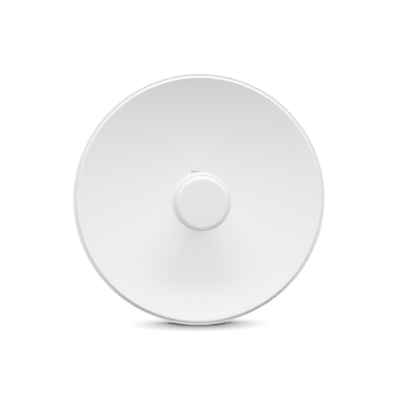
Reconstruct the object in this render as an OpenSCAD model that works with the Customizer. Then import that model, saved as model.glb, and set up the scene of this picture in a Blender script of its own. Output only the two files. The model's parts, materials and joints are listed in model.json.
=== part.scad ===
// Outdoor wireless bridge: a round dish reflector with a plug-in feed radio, tilting on a pole clamp.
// Z is the pole's axis, the origin is the middle of the clamp, and the dish faces -Y.
// Most pieces are drawn facing forward: X across, Y up and Z towards the front, then turned by facing().

/* [Dish] */
// Outer diameter over the rolled rim
dish_d = 420; // [360:2:510]
// Depth of the bowl, from its edge to its vertex
dish_depth = 72; // [58:1:90]
// Thickness of the pressed sheet
sheet_t = 1; // [0.8:0.1:1.6]
// Width of the rim band, from the bowl's edge to the outer edge
rim_w = 7.4; // [6.8:0.2:12]
// Radius of the round-over at the front edge
lip_r = 1.8; // [1.5:0.1:2.4]

/* [Feed] */
// Diameter of the cap's flat face
face_d = 79; // [66:1:95]
// Width of the cap's sloping edge, seen from the front
cap_edge_w = 4; // [2:0.5:7]
// Depth of the cap's sloping edge
cap_h = 8; // [6:0.5:12]
// Width of the seam between cap and drum
seam_w = 0.8; // [0.4:0.1:1.5]
// Width of the drum's shoulder round the cap, seen from the front
shoulder_w = 5; // [3:0.5:8]
// Length of the drum's rounded shoulder
shoulder_l = 13; // [8:1:20]
// Length of the drum's straight side
drum_l = 14; // [8:1:24]
// Length of the drum's taper down to the tube
flare_l = 30; // [20:1:40]
// How far the cap's face stands in front of the dish's edge
feed_reach = 60; // [40:1:80]
// Diameter of the feed tube
tube_d = 60; // [50:1:62]
// How much smaller the radius of the feed's tail is, behind the dish
tail_step = 3.5; // [3:0.5:6]
// Wall of the feed mouldings
feed_wall = 2.4; // [1.6:0.1:3]
// How far the feed pulls out
feed_travel = 150; // [100:5:170]

/* [Collar and latch] */
// Wall of the collar's sleeve, which passes through the dish
sleeve_wall = 5.2; // [4.4:0.2:5.4]
// Width of the collar's flange round the sleeve
flange_w = 4.4; // [3:0.2:5.4]
// Height of the collar's flange
collar_h = 5; // [3:0.5:8]
// Width of the release tab
tab_w = 12; // [8:1:16]
// Thickness of the release tab
tab_t = 2; // [1.5:0.1:3]
// Sideways place of the release tab
tab_x = -3; // [-5:0.5:5]
// Travel of the release latch
latch_travel = 3; // [2:0.5:3.5]
// Thickness of the latch plate
latch_t = 2.4; // [1.8:0.2:2.8]

/* [Rear housing] */
// Diameter of the rear housing
housing_d = 176; // [168:2:200]
// Wall of the rear housing
housing_wall = 3; // [2:0.2:3.6]
// Depth of the rear housing on the dish's axis
housing_depth = 26; // [26:0.5:34]
// Width of the port bay inside
bay_w = 34; // [30:1:38]
// Diameter of the hole for the cable in the grommet
cable_d = 6.4; // [5.5:0.1:7.5]
// Travel of the port cover
cover_travel = 42; // [30:1:50]

/* [Elevation] */
// Tilt each way
tilt = 20; // [10:1:22]
// Distance from the hinge to the housing's rear face
hinge_reach = 33; // [33:0.5:44]
// Distance from the hinge to the bracket's plate
hinge_gap = 24.5; // [24:0.5:34]
// Distance from the hinge to each lock bolt
lock_r = 30; // [28:0.5:32]
// Distance between the bracket's two ears
yoke_w = 92; // [90:1:108]
// Thickness of the steel brackets
plate_t = 3; // [2.5:0.25:4]
// Height of the pole bracket
yoke_h = 80; // [78:1:92]

/* [Pole clamp] */
// Diameter of the pole
pole_d = 48.3; // [42:0.1:51]
// Height of the clamp jaws
jaw_h = 44; // [34:1:56]
// Thickness of the jaws behind the pole
jaw_wall = 4.4; // [4:0.2:7]
// Distance between the two clamp bolts
bolt_pitch = 68; // [68:1:70]
// How far the outer jaw opens from the pole
jaw_open = 5; // [3:1:8]
// How far the outer jaw closes for a thinner pole
jaw_close = 18; // [10:1:20]

/* [Fasteners] */
// Diameter of the clamp and pivot bolts
clamp_bolt_d = 8; // [6:1:8]
// Diameter of the lock bolts and dish studs
lock_bolt_d = 6; // [5:0.5:6]
// Gap between a pin and the hole that turns on it, on the radius
pin_clearance = 0.05; // [0.02:0.01:0.1]
// Gap between pieces that slide past each other
slide_clearance = 0.4; // [0.3:0.05:0.6]

/* [Hidden] */
$fn = 96;
eps = 0.01;
curve_steps = 28;

// Places along the axis, counted forward from the pole's axis
pole_r = pole_d / 2;
plate_back_s = pole_r + jaw_wall;
plate_front_s = plate_back_s + plate_t;
hinge_s = plate_front_s + hinge_gap;
housing_s = hinge_s + hinge_reach;
vertex_s = housing_s + housing_depth;
bowl_s = vertex_s + sheet_t;
rim_s = bowl_s + dish_depth;
face_s = rim_s + feed_reach;
seam_s = face_s - cap_h;
shoulder_s = seam_s - seam_w;
drum_s = shoulder_s - shoulder_l;
flare_s = drum_s - drum_l;
neck_s = flare_s - flare_l;
horn_s = neck_s + 14;

// Dish
aperture_r = dish_d / 2 - rim_w;
focal = aperture_r * aperture_r / (4 * dish_depth);
rim_slope = atan(aperture_r / (2 * focal));
wall_lean = 6;
wall_l = 6;
function bowl_rise(r) = r * r / (4 * focal);
function back_at(r) = vertex_s + bowl_rise(r);
function front_at(r) = bowl_s + bowl_rise(r);

// Feed and collar
tube_r = tube_d / 2;
tail_r = tube_r - tail_step;
sleeve_r = tube_r + slide_clearance + sleeve_wall;
collar_r = sleeve_r + flange_w;
collar_top_s = front_at(collar_r) + collar_h;
hole_r = sleeve_r + 0.2;
seal_wire_r = 1.1;
seal_s = collar_top_s - collar_h / 2 - 0.5;
tail_step_s = vertex_s + 1;
tail_end_s = housing_s + housing_wall + 0.6;
tail_cap_t = 2.4;
face_r = face_d / 2;
cap_r = face_r + cap_edge_w;
drum_r = cap_r + shoulder_w;
spigot_r = cap_r - feed_wall;
spigot_l = seam_w + 5;
horn_bore_r = 14;
horn_l = 26;

// Latch
latch_s = vertex_s - 2.6;
latch_hole_r = tail_r + latch_travel + 1;
latch_ring_r = latch_hole_r + 4.5;
tab_top = collar_r + latch_travel + tab_t + 1.6;
tab_out = 4;
slot_pad = 0.5;
spring_r = 1.5;
spring_wire_r = 0.25;
spring_turns = 6;
spring_len = 8;
spring_top = latch_travel - latch_ring_r - 1;

// Housing, bay and cover
housing_r = housing_d / 2;
edge_round = 8;
bay_wall = 2;
bay_top = -tail_r - 4;
bay_floor = -(housing_r - housing_wall - 11);
bay_front_s = latch_s - slide_clearance;
spring_s = bay_front_s + spring_r + 0.3;
window_w = bay_w;
window_top = -(yoke_h / 2 + 4);
cover_t = 2.4;
cover_lap = 2.6;
cover_w = window_w + 2 * cover_lap;
cover_top = window_top + cover_lap;
cover_bottom = bay_floor - cover_lap;
cover_gap = 0.3;
rail_t = 1.8;
rail_lip = 2.2;
boss_r = 6.4;
gasket_t = 2;
housing_front_s = back_at(housing_r - housing_wall) - gasket_t;
lens_r = 2;
lens_flange = 0.8;
lens_pitch = 10;
lens_y = housing_r - 28;

// Jack, board and button
jack_w = 16;
jack_l = 13.4;
jack_h = 20;
jack_s = tail_end_s + tail_cap_t + 1.6 + jack_l / 2;
jack_low = -(tail_r - 1.2);
socket_w = 11.8;
socket_l = 8.4;
socket_h = 13;
board_t = 1.6;
board_w = 2 * (tail_r - feed_wall) - 8;
board_y = jack_low + jack_h;
board_back_s = tail_end_s + tail_cap_t + 1.4;
board_front_s = horn_s - 1;
grommet_s = jack_s;
grommet_r = 6.2;
grommet_low = -housing_r - 2;
grommet_flange_t = 1.6;
button_x = jack_w / 2 + 4.5;
button_r = 1.6;
button_travel = 0.8;

// Studs, locks and jaws
stud_x = yoke_w / 2 - 12;
stud_y = 30;
stud_r = lock_bolt_d / 2;
stud_clearance = 0.3;
stud_far = sqrt(stud_x * stud_x + stud_y * stud_y);
weld_depth = 0.5;
slot_r = stud_r + slide_clearance;
ear_gap = 0.3;
head_w = yoke_w - 2 * ear_gap;
head_h = yoke_h - 4;
yoke_front_s = hinge_s + 21;
pivot_r = clamp_bolt_d / 2;
washer_t = 1.6;
nut_af = 1.65 * clamp_bolt_d;
nut_h = 0.85 * clamp_bolt_d;
small_af = 1.67 * lock_bolt_d;
small_nut_h = 0.9 * lock_bolt_d;
bolt_end = plate_back_s + nut_h + jaw_open + 2;
jaw_tip = 12;
jaw_half_w = pole_r + 2;
wing_t = 4;
wing_half_w = bolt_pitch / 2 + 9;
ground_r = 2.1;
relief_r = 1.2;

// Helpers
module facing() { rotate([90, 0, 0]) children(); }
module at_s(s) { translate([0, 0, s]) children(); }
module across() { rotate([0, 90, 0]) children(); }
module ring(r_out, r_in, h) {
    difference() {
        cylinder(r = r_out, h = h);
        translate([0, 0, -1]) cylinder(r = r_in, h = h + 2);
    }
}
// A rectangle with round corners, centred
module plate(w, h, r) {
    square([w - 2 * r, h], center = true);
    square([w, h - 2 * r], center = true);
    for (x = [-1, 1], y = [-1, 1])
        translate([x * (w / 2 - r), y * (h / 2 - r)]) circle(r);
}
module slab(w, h, r, t) { linear_extrude(t) plate(w, h, r); }
// A hex head with chamfered corners, standing on its flange
module hex_head(af, h) {
    intersection() {
        cylinder(r = af / sqrt(3), h = h, $fn = 6);
        rotate_extrude()
            polygon([[0, 0], [0.62 * af, 0], [0.62 * af, 0.7 * h], [0.46 * af, h], [0, h]]);
    }
    cylinder(r = 0.68 * af, h = 0.2 * h);
}
module nut(af, h, bore_r) {
    difference() {
        hex_head(af, h);
        translate([0, 0, -1]) cylinder(r = bore_r, h = h + 2);
    }
}
// A low dome, the cap of a sphere
module dome(r, h) {
    ball_r = (r * r + h * h) / (2 * h);
    intersection() {
        translate([0, 0, h - ball_r]) sphere(ball_r);
        cylinder(r = r + 1, h = h + 1);
    }
}
// A block given by its lowest and highest corners
module block(low, high) { translate(low) cube(high - low); }
// An outline of (across, forward) points, extruded upwards about the middle
module plan(h) { linear_extrude(h, center = true) mirror([0, 1]) children(); }
// An outline of (forward, up) points, extruded across about the middle
module side(w) { rotate([90, 0, -90]) linear_extrude(w, center = true) children(); }
module both_sides() { for (m = [0, 1]) mirror([m, 0, 0]) children(); }
module four_corners(x, y) {
    for (i = [-1, 1], j = [-1, 1]) translate([i * x, j * y, 0]) children();
}
// Places the children, which point outwards, on one side's lock bolt axes
module at_locks(x) {
    both_sides() for (up = [-lock_r, lock_r])
        translate([x, -hinge_s, up]) across() children();
}
// A slot along an arc about the origin, which starts straight up
module arc_slot(r, half_w, half_angle) {
    reach = 2 * (r + half_w);
    intersection() {
        difference() {
            circle(r + half_w);
            circle(r - half_w);
        }
        polygon([[0, 0], [-reach * sin(half_angle), reach * cos(half_angle)],
            [reach * sin(half_angle), reach * cos(half_angle)]]);
    }
    for (a = [-half_angle, half_angle])
        translate([r * sin(a), r * cos(a)]) circle(half_w);
}

// Pole bracket and clamp
module pole_bracket() {
    outer_w = yoke_w + 2 * plate_t;
    color("silver") difference() {
        intersection() {
            plan(yoke_h) difference() {
                translate([0, plate_back_s + yoke_h]) plate(outer_w, 2 * yoke_h, plate_t + 2);
                translate([0, plate_front_s + yoke_h]) plate(yoke_w, 2 * yoke_h, 2);
            }
            side(outer_w) translate([yoke_front_s - yoke_h, 0]) plate(2 * yoke_h, yoke_h, 16);
        }
        side(outer_w + 2) translate([hinge_s, 0]) {
            for (m = [0, 1]) mirror([0, m]) arc_slot(lock_r, slot_r, tilt);
            circle(pivot_r + pin_clearance);
        }
        facing() for (i = [-1, 1])
            translate([i * bolt_pitch / 2, 0, plate_back_s + plate_t / 2])
                cube([clamp_bolt_d + 0.3, clamp_bolt_d + 0.3, plate_t + 2], center = true);
        translate([-yoke_w / 2 + 1, -plate_front_s - 5, -yoke_h / 2 + 7])
            rotate([0, -90, 0]) cylinder(r = ground_r, h = plate_t + 2);
    }
}

// One jaw behind the pole, with a smooth arc that fits it
module jaw() {
    difference() {
        plan(jaw_h) difference() {
            union() {
                translate([-jaw_half_w, jaw_tip]) square([2 * jaw_half_w, plate_back_s - jaw_tip]);
                translate([0, plate_back_s - wing_t / 2]) plate(2 * wing_half_w, wing_t, 1.5);
            }
            circle(pole_r);
            both_sides() translate([pole_r - 6, plate_back_s - 2.2]) circle(relief_r);
        }
        facing() for (i = [-1, 1])
            translate([i * bolt_pitch / 2, 0, 0]) cylinder(r = pivot_r + slide_clearance, h = 2 * pole_r);
    }
}
module inner_jaw() { color("gainsboro") jaw(); }
module outer_jaw() { color("gainsboro") mirror([0, 1, 0]) jaw(); }

module clamp_bolts() {
    color("silver") facing() for (i = [-1, 1]) translate([i * bolt_pitch / 2, 0, 0]) {
        at_s(-bolt_end) cylinder(r = pivot_r, h = bolt_end + plate_back_s + eps);
        at_s(plate_back_s) translate([-pivot_r, -pivot_r, 0])
            cube([clamp_bolt_d, clamp_bolt_d, plate_t + eps]);
        at_s(plate_front_s) dome(1.15 * clamp_bolt_d, 0.55 * clamp_bolt_d);
    }
}
module clamp_nuts() {
    color("silver") rotate([-90, 0, 0]) for (i = [-1, 1])
        translate([i * bolt_pitch / 2, 0, plate_back_s]) nut(nut_af, nut_h, pivot_r + pin_clearance);
}

module pivot_bolt() {
    grip = yoke_w / 2 + plate_t + washer_t;
    color("silver") translate([0, -hinge_s, 0]) across() {
        at_s(-grip - nut_h - 2) cylinder(r = pivot_r, h = 2 * grip + nut_h + 2 + eps);
        at_s(grip) hex_head(nut_af, 0.7 * clamp_bolt_d);
    }
}
module pivot_washers() {
    color("silver") both_sides() translate([yoke_w / 2 + plate_t, -hinge_s, 0]) across()
        ring(1.15 * clamp_bolt_d, pivot_r + pin_clearance, washer_t);
}
module pivot_nut() {
    color("silver") translate([-yoke_w / 2 - plate_t - washer_t, -hinge_s, 0]) rotate([0, -90, 0])
        nut(nut_af, nut_h, pivot_r);
}

// Tilting bracket on the back of the housing
module head_bracket() {
    color("silver") difference() {
        intersection() {
            plan(head_h) difference() {
                translate([0, housing_s - yoke_h]) plate(head_w, 2 * yoke_h, plate_t + 2);
                translate([0, housing_s - plate_t - yoke_h]) plate(head_w - 2 * plate_t, 2 * yoke_h, 2);
            }
            side(head_w) translate([hinge_s, 0]) {
                translate([yoke_h - 8, 0]) plate(2 * yoke_h, head_h, 8);
                circle(12);
            }
        }
        side(head_w + 2) translate([hinge_s, 0]) {
            circle(pivot_r + pin_clearance);
            for (up = [-lock_r, lock_r]) translate([0, up]) circle(stud_r + 0.1);
        }
        facing() at_s(housing_s - plate_t - 1) {
            four_corners(stud_x, stud_y) cylinder(r = stud_r + 0.2, h = plate_t + 2);
            slab(yoke_w / 2, yoke_h / 2, 8, plate_t + 2);
        }
    }
}
module stud_nuts() {
    color("silver") facing() four_corners(stud_x, stud_y)
        at_s(housing_s - plate_t) mirror([0, 0, 1]) nut(small_af, small_nut_h, stud_r);
}
module lock_bolts() {
    low = head_w / 2 - plate_t - small_nut_h - 1.5;
    head_at = yoke_w / 2 + plate_t + ear_gap + washer_t;
    color("silver") {
        at_locks(low) cylinder(r = stud_r, h = head_at - low + eps);
        at_locks(head_at) hex_head(small_af, 0.7 * lock_bolt_d);
    }
}
module lock_washers() {
    color("silver") at_locks(yoke_w / 2 + plate_t + ear_gap)
        ring(small_af * 0.75, stud_r + 0.1, washer_t);
}
module lock_nuts() {
    color("silver") at_locks(head_w / 2 - plate_t)
        mirror([0, 0, 1]) nut(small_af, small_nut_h, stud_r);
}

// Dish
// Centre of the round-over, which is tangent to the bowl
lip = [aperture_r + lip_r * sin(rim_slope), rim_s - lip_r * cos(rim_slope)];
function arc(centre, r, from, to, n) =
    [for (i = [0:n]) let (a = from + (to - from) * i / n) centre + r * [cos(a), sin(a)]];
wall_out = [cos(wall_lean), sin(wall_lean)];
wall_foot = lip + lip_r * wall_out + wall_l * [sin(wall_lean), -cos(wall_lean)];
// The rolled bead curls outwards from the wall's foot to the full diameter
curl_r = (dish_d / 2 - sheet_t - wall_foot[0]) / (1 + cos(wall_lean));
curl_at = wall_foot + curl_r * wall_out;
curl_from = 180 + wall_lean;
curl_to = curl_from + 240;
module dish_section() {
    polygon(concat(
        [for (i = [0:curve_steps]) let (r = hole_r + (aperture_r - hole_r) * i / curve_steps)
            [r, front_at(r)]],
        arc(lip, lip_r, 90 + rim_slope - 6, wall_lean, 10),
        arc(curl_at, curl_r, curl_from, curl_to, 20),
        arc(curl_at, curl_r + sheet_t, curl_to, curl_from, 24),
        arc(lip, lip_r - sheet_t, wall_lean, 90 + rim_slope, 6),
        [for (i = [0:curve_steps]) let (r = aperture_r - (aperture_r - hole_r) * i / curve_steps)
            [r, back_at(r)]]));
}
module dish_reflector() {
    slot_low = tab_top - tab_t - latch_travel - slot_pad;
    color("white") facing() difference() {
        rotate_extrude($fn = 180) dish_section();
        block([tab_x - tab_w / 2 - slot_pad, slot_low, vertex_s],
            [tab_x + tab_w / 2 + slot_pad, tab_top + slot_pad, rim_s]);
    }
}
module dish_studs() {
    low = housing_s - plate_t - small_nut_h - 2;
    color("silver") facing() four_corners(stud_x, stud_y)
        at_s(low) cylinder(r = stud_r, h = back_at(stud_far) + weld_depth - low);
}

// Rear housing
module housing_shell() {
    corner = [housing_r - edge_round, housing_s + edge_round];
    rotate_extrude($fn = 180) polygon(concat(
        [[0, housing_s + housing_wall], [0, housing_s]],
        arc(corner, edge_round, -90, 0, 8),
        [[housing_r, housing_front_s], [housing_r - housing_wall, housing_front_s]],
        arc(corner, edge_round - housing_wall, 0, -90, 8)));
}
module bay_walls() {
    block([-bay_w / 2 - bay_wall, bay_floor - bay_wall, housing_s + 1],
        [bay_w / 2 + bay_wall, bay_top + 2, bay_front_s]);
}
module grommet_boss() {
    translate([0, grommet_low, grommet_s]) rotate([-90, 0, 0])
        cylinder(r = grommet_r + housing_wall, h = bay_floor - grommet_low);
}
module cover_rails() {
    inner = cover_w / 2 + cover_gap;
    low_s = housing_s - cover_t - 2 * cover_gap - rail_t;
    both_sides() {
        block([inner, cover_bottom + 4, low_s], [inner + rail_t, cover_top, housing_s + 2]);
        block([inner - rail_lip, cover_bottom + 4, low_s], [inner + rail_t, cover_top, low_s + rail_t]);
    }
}
module latch_guides() {
    half = tab_w / 2 + slide_clearance;
    for (i = [-1, 1]) translate([tab_x + i * (half + 0.8), latch_ring_r + latch_travel + 3, 0])
        block([-0.8, 0, housing_s + 1], [0.8, 5, latch_s + latch_t + 0.6]);
    block([-4, spring_top - spring_len - 2, bay_front_s - 1],
        [4, spring_top - spring_len, spring_s + spring_r + 0.3]);
}
module rear_housing() {
    guide_r = tail_r + slide_clearance;
    boss_s = back_at(stud_far - boss_r) - 0.2;
    color("white") facing() difference() {
        union() {
            housing_shell();
            four_corners(stud_x, stud_y) at_s(housing_s + 1) cylinder(r = boss_r, h = boss_s - housing_s - 1);
            at_s(housing_s + 1) cylinder(r = guide_r + 2.5, h = bay_front_s - housing_s - 1);
            bay_walls();
            grommet_boss();
            cover_rails();
            latch_guides();
        }
        at_s(housing_s + housing_wall) cylinder(r = guide_r, h = housing_depth);
        four_corners(stud_x, stud_y) at_s(housing_s - 1) cylinder(r = stud_r + stud_clearance, h = 2 * housing_depth);
        block([-bay_w / 2, bay_floor, housing_s + housing_wall],
            [bay_w / 2, bay_top, bay_front_s - bay_wall]);
        block([-bay_w / 2 + 1.5, bay_floor, housing_s + housing_wall],
            [bay_w / 2 - 1.5, -tail_r + 6, bay_front_s - bay_wall]);
        block([-window_w / 2, bay_floor, housing_s - 1], [window_w / 2, window_top, housing_s + 4]);
        translate([0, bay_floor + 1, grommet_s]) rotate([90, 0, 0]) cylinder(r = grommet_r, h = housing_r);
        at_lenses() at_s(housing_s - 1) cylinder(r = lens_r + 0.05, h = housing_wall + 2);
    }
}
module housing_gasket() {
    low_r = housing_r - housing_wall - 0.5;
    color("dimgray") facing() rotate_extrude($fn = 180) polygon([[low_r, housing_front_s],
        [housing_r, housing_front_s], [housing_r, back_at(housing_r) - 0.1], [low_r, back_at(low_r) - 0.1]]);
}

// Status lenses in a row near the top of the housing
module at_lenses() {
    for (i = [-1.5:1:1.5]) translate([i * lens_pitch, lens_y, 0]) children();
}
module status_lenses() {
    color("honeydew") facing() at_lenses() {
        at_s(housing_s - 0.3) cylinder(r = lens_r, h = housing_wall + 0.3);
        at_s(housing_s + housing_wall) cylinder(r = lens_r + lens_flange, h = 2);
    }
}
module cable_grommet() {
    grommet_l = bay_floor - grommet_low;
    color("dimgray") facing() translate([0, grommet_low, grommet_s]) rotate([-90, 0, 0]) difference() {
        union() {
            cylinder(r = grommet_r, h = grommet_l);
            at_s(-grommet_flange_t) cylinder(r = grommet_r + 2, h = grommet_flange_t);
            at_s(grommet_l) cylinder(r1 = grommet_r + 0.4, r2 = grommet_r - 0.8, h = grommet_flange_t);
        }
        at_s(-3) cylinder(r = cable_d / 2, h = housing_r);
    }
}
module port_cover() {
    grip_y = (cover_top + cover_bottom) / 2;
    ridge_pitch = 3;
    ridge_w = 1.2;
    color("white") facing() {
        translate([0, grip_y, housing_s - cover_gap - cover_t])
            slab(cover_w, cover_top - cover_bottom, 3, cover_t);
        for (i = [-2:2])
            translate([0, grip_y + i * ridge_pitch, housing_s - cover_gap - cover_t])
                block([-cover_w / 2 + 6, -ridge_w / 2, -1], [cover_w / 2 - 6, ridge_w / 2, 0.5]);
    }
}

// Collar and latch
module feed_collar() {
    in_r = tube_r + slide_clearance;
    seat = 0.05;
    corner_r = 2;
    color("whitesmoke") facing() rotate_extrude() difference() {
        polygon(concat(
            [[in_r, vertex_s + 0.8], [sleeve_r, vertex_s + 0.8], [sleeve_r, front_at(sleeve_r) + seat],
            [collar_r, front_at(collar_r) + seat]],
            arc([collar_r - corner_r, collar_top_s - corner_r], corner_r, 0, 90, 6),
            [[in_r, collar_top_s]]));
        translate([in_r - 1, seal_s - seal_wire_r - 0.2]) square([1 + 2 * seal_wire_r, 2 * seal_wire_r + 0.4]);
    }
}
module collar_seal() {
    color("dimgray") facing() at_s(seal_s) rotate_extrude()
        translate([tube_r + 0.3 + seal_wire_r, 0]) circle(seal_wire_r, $fn = 32);
}
module release_latch() {
    tab_low = tab_top - tab_t;
    color("whitesmoke") facing() {
        difference() {
            union() {
                translate([0, latch_travel, latch_s]) cylinder(r = latch_ring_r, h = latch_t);
                block([tab_x - tab_w / 2, latch_hole_r + latch_travel + 1, latch_s],
                    [tab_x + tab_w / 2, tab_top, latch_s + latch_t]);
                block([-3, spring_top, latch_s], [3, spring_top + 3, spring_s + spring_r]);
            }
            translate([0, latch_travel, latch_s - 1]) cylinder(r = latch_hole_r, h = latch_t + 4);
        }
        block([tab_x - tab_w / 2, tab_low, latch_s], [tab_x + tab_w / 2, tab_top, front_at(tab_top) + tab_out]);
    }
}
module latch_spring() {
    pitch = (spring_len - 2 * spring_wire_r) / spring_turns;
    color("silver") facing() translate([0, spring_top - spring_len, spring_s])
        rotate([-90, 0, 0]) for (i = [0:spring_turns]) at_s(spring_wire_r + i * pitch)
            rotate_extrude($fn = 32) translate([spring_r - spring_wire_r, 0]) circle(spring_wire_r, $fn = 16);
}

// Feed
function flare(t, r0, r1) = r0 + (r1 - r0) * (1 - cos(180 * t)) / 2;
module feed_tube() {
    back = tail_end_s + tail_cap_t;
    color("white") facing() difference() {
        rotate_extrude() polygon([[tail_r - feed_wall, back], [tail_r, back], [tail_r, tail_step_s],
            [tube_r, tail_step_s], [tube_r, horn_s], [tube_r - feed_wall, horn_s],
            [tube_r - feed_wall, tail_step_s + feed_wall], [tail_r - feed_wall, tail_step_s + feed_wall]]);
        block([-jack_w / 2 - 0.3, -tube_r, jack_s - jack_l / 2 - 0.3],
            [jack_w / 2 + 0.3, -tail_r / 2, jack_s + jack_l / 2 + 0.3]);
        translate([button_x, 0, jack_s]) rotate([90, 0, 0]) cylinder(r = button_r + 0.3, h = tube_r);
    }
}
module tail_cap() {
    color("white") facing() at_s(tail_end_s) difference() {
        union() {
            cylinder(r = tail_r, h = tail_cap_t);
            cylinder(r = tail_r - feed_wall - 0.05, h = tail_cap_t + 1);
        }
        at_s(tail_cap_t - 0.4) cylinder(r = tail_r - 2 * feed_wall, h = 4);
    }
}
module feed_drum() {
    steps = 12;
    neck_r = tube_r + feed_wall;
    color("white") facing() rotate_extrude() polygon(concat(
        [for (i = [0:steps]) [flare(i / steps, neck_r, drum_r), neck_s + flare_l * i / steps]],
        [for (i = [0:8]) let (a = i * 90 / 8) [cap_r + shoulder_w * cos(a), drum_s + shoulder_l * sin(a)]],
        [[spigot_r + 0.05, shoulder_s], [spigot_r + 0.05, shoulder_s - spigot_l]],
        [[drum_r - feed_wall, drum_s - 2], [drum_r - feed_wall, flare_s]],
        [for (i = [steps - 1:-1:0]) let (t = i / steps)
            [max(tube_r + 0.05, flare(t, neck_r, drum_r) - 1.2 * feed_wall), neck_s + flare_l * t]]));
}
module front_cap() {
    round_r = 1;
    slope = atan(cap_edge_w / (cap_h - round_r));
    color("white") facing() rotate_extrude() polygon(concat(
        [[0, face_s]],
        arc([face_r - round_r, face_s - round_r], round_r, 90, slope, 6),
        [[cap_r, seam_s], [spigot_r, seam_s], [spigot_r, seam_s - spigot_l],
        [spigot_r - feed_wall, seam_s - spigot_l], [face_r - feed_wall, face_s - feed_wall],
        [0, face_s - feed_wall]]));
}
module cap_seal() {
    color("lightgray") facing() at_s(shoulder_s) ring(spigot_r + 1.2, spigot_r, seam_w);
}
module subreflector() {
    rim = spigot_r - feed_wall - 0.8;
    edge_s = seam_s - spigot_l + 1.5;
    color("silver") facing() rotate_extrude()
        polygon([[0, edge_s - 8], [rim, edge_s], [rim, edge_s + 1], [0, edge_s - 7]]);
}
module feed_horn() {
    wall = 1.5;
    flange_t = 2;
    mouth_w = 3.5;
    throat_l = horn_l - 8;
    color("silver") facing() at_s(horn_s) rotate_extrude() polygon([[horn_bore_r, 0], [tube_r, 0],
        [tube_r, flange_t], [horn_bore_r + wall, flange_t], [horn_bore_r + wall, throat_l],
        [horn_bore_r + mouth_w + wall, horn_l], [horn_bore_r + mouth_w, horn_l], [horn_bore_r, throat_l]]);
}
module radio_board() {
    color("darkgreen") facing() block([-board_w / 2, board_y, board_back_s],
        [board_w / 2, board_y + board_t, board_front_s]);
}
module shield_cans() {
    low = board_y + board_t;
    can_h = 4.5;
    half_w = board_w / 2 - 4;
    cell = (board_front_s - tail_step_s - 6) / 3;
    color("silver") facing() for (i = [0:2]) let (s = tail_step_s + 4 + i * cell)
        block([-half_w, low, s], [half_w, low + can_h, s + cell - 3]);
}
module rj45_jack() {
    high = jack_low + jack_h;
    color("gray") facing() difference() {
        block([-jack_w / 2, jack_low, jack_s - jack_l / 2], [jack_w / 2, high, jack_s + jack_l / 2]);
        block([-socket_w / 2, jack_low - 1, jack_s - socket_l / 2],
            [socket_w / 2, jack_low + socket_h, jack_s + socket_l / 2]);
        block([-3, jack_low - 1, jack_s - socket_l / 2 - 1.6], [3, jack_low + socket_h, jack_s]);
    }
}
module reset_switch() {
    color("black") facing() block([button_x - 3, board_y - 3.6, jack_s - 3],
        [button_x + 3, board_y, jack_s + 3]);
}
module reset_button() {
    low = -sqrt(tail_r * tail_r - button_x * button_x) - 1.6;
    high = board_y - 3.6 - 0.3 - button_travel;
    color("dimgray") facing() translate([button_x, low, jack_s]) rotate([-90, 0, 0]) {
        cylinder(r = button_r, h = high - low);
        at_s(high - low - 1) cylinder(r = button_r + 0.9, h = 1);
    }
}

pole_bracket();
inner_jaw();
clamp_bolts();
pivot_bolt();
pivot_washers();
pivot_nut();
outer_jaw();
clamp_nuts();
head_bracket();
stud_nuts();
lock_bolts();
lock_washers();
lock_nuts();
dish_reflector();
dish_studs();
rear_housing();
housing_gasket();
status_lenses();
cable_grommet();
feed_collar();
collar_seal();
latch_spring();
feed_tube();
tail_cap();
feed_drum();
front_cap();
cap_seal();
subreflector();
feed_horn();
radio_board();
shield_cans();
rj45_jack();
release_latch();
port_cover();
reset_button();
reset_switch();
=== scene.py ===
"""Outdoor wireless bridge: looks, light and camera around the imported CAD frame.

Lengths are metres. The dish faces -Y, so a place along its axis is counted forward as s = -y.
"""

import math

import bmesh
import bpy
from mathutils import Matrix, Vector
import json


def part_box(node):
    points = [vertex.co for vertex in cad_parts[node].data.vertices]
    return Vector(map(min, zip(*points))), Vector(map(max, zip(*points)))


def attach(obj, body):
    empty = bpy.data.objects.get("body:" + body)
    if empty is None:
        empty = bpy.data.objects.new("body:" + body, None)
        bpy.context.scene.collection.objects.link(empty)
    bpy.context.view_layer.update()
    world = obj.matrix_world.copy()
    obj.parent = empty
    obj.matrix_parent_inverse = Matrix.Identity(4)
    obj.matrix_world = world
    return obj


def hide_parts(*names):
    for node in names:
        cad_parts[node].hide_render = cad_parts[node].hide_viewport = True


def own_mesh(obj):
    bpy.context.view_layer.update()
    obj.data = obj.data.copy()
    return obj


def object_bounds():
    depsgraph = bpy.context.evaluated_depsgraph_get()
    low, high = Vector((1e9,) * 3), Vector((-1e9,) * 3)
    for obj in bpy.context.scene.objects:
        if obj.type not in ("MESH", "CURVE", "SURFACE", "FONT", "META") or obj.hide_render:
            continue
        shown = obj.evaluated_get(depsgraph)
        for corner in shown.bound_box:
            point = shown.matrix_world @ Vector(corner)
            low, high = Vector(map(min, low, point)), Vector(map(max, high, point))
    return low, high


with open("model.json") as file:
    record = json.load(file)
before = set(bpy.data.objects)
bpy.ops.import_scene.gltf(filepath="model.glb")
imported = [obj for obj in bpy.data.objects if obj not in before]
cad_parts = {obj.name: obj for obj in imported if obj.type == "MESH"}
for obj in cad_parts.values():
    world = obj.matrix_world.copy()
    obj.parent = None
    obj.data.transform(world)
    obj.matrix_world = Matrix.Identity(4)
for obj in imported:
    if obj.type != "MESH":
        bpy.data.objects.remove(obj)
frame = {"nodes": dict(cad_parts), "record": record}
cad_low, cad_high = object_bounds()
NODES = frame["nodes"]
MM = 0.001
TAU = 2 * math.pi


# ---------------------------------------------------------------- measures from the frame
def forward_span(node):
    """(back, front) of a node along the dish's axis, counted forward."""
    low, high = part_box(node)
    return -high.y, -low.y


def radius_range(node):
    """(inner, outer) radius of a node about the dish's axis."""
    radii = [math.hypot(v.co.x, v.co.z) for v in NODES[node].data.vertices]
    return min(radii), max(radii)


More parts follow.
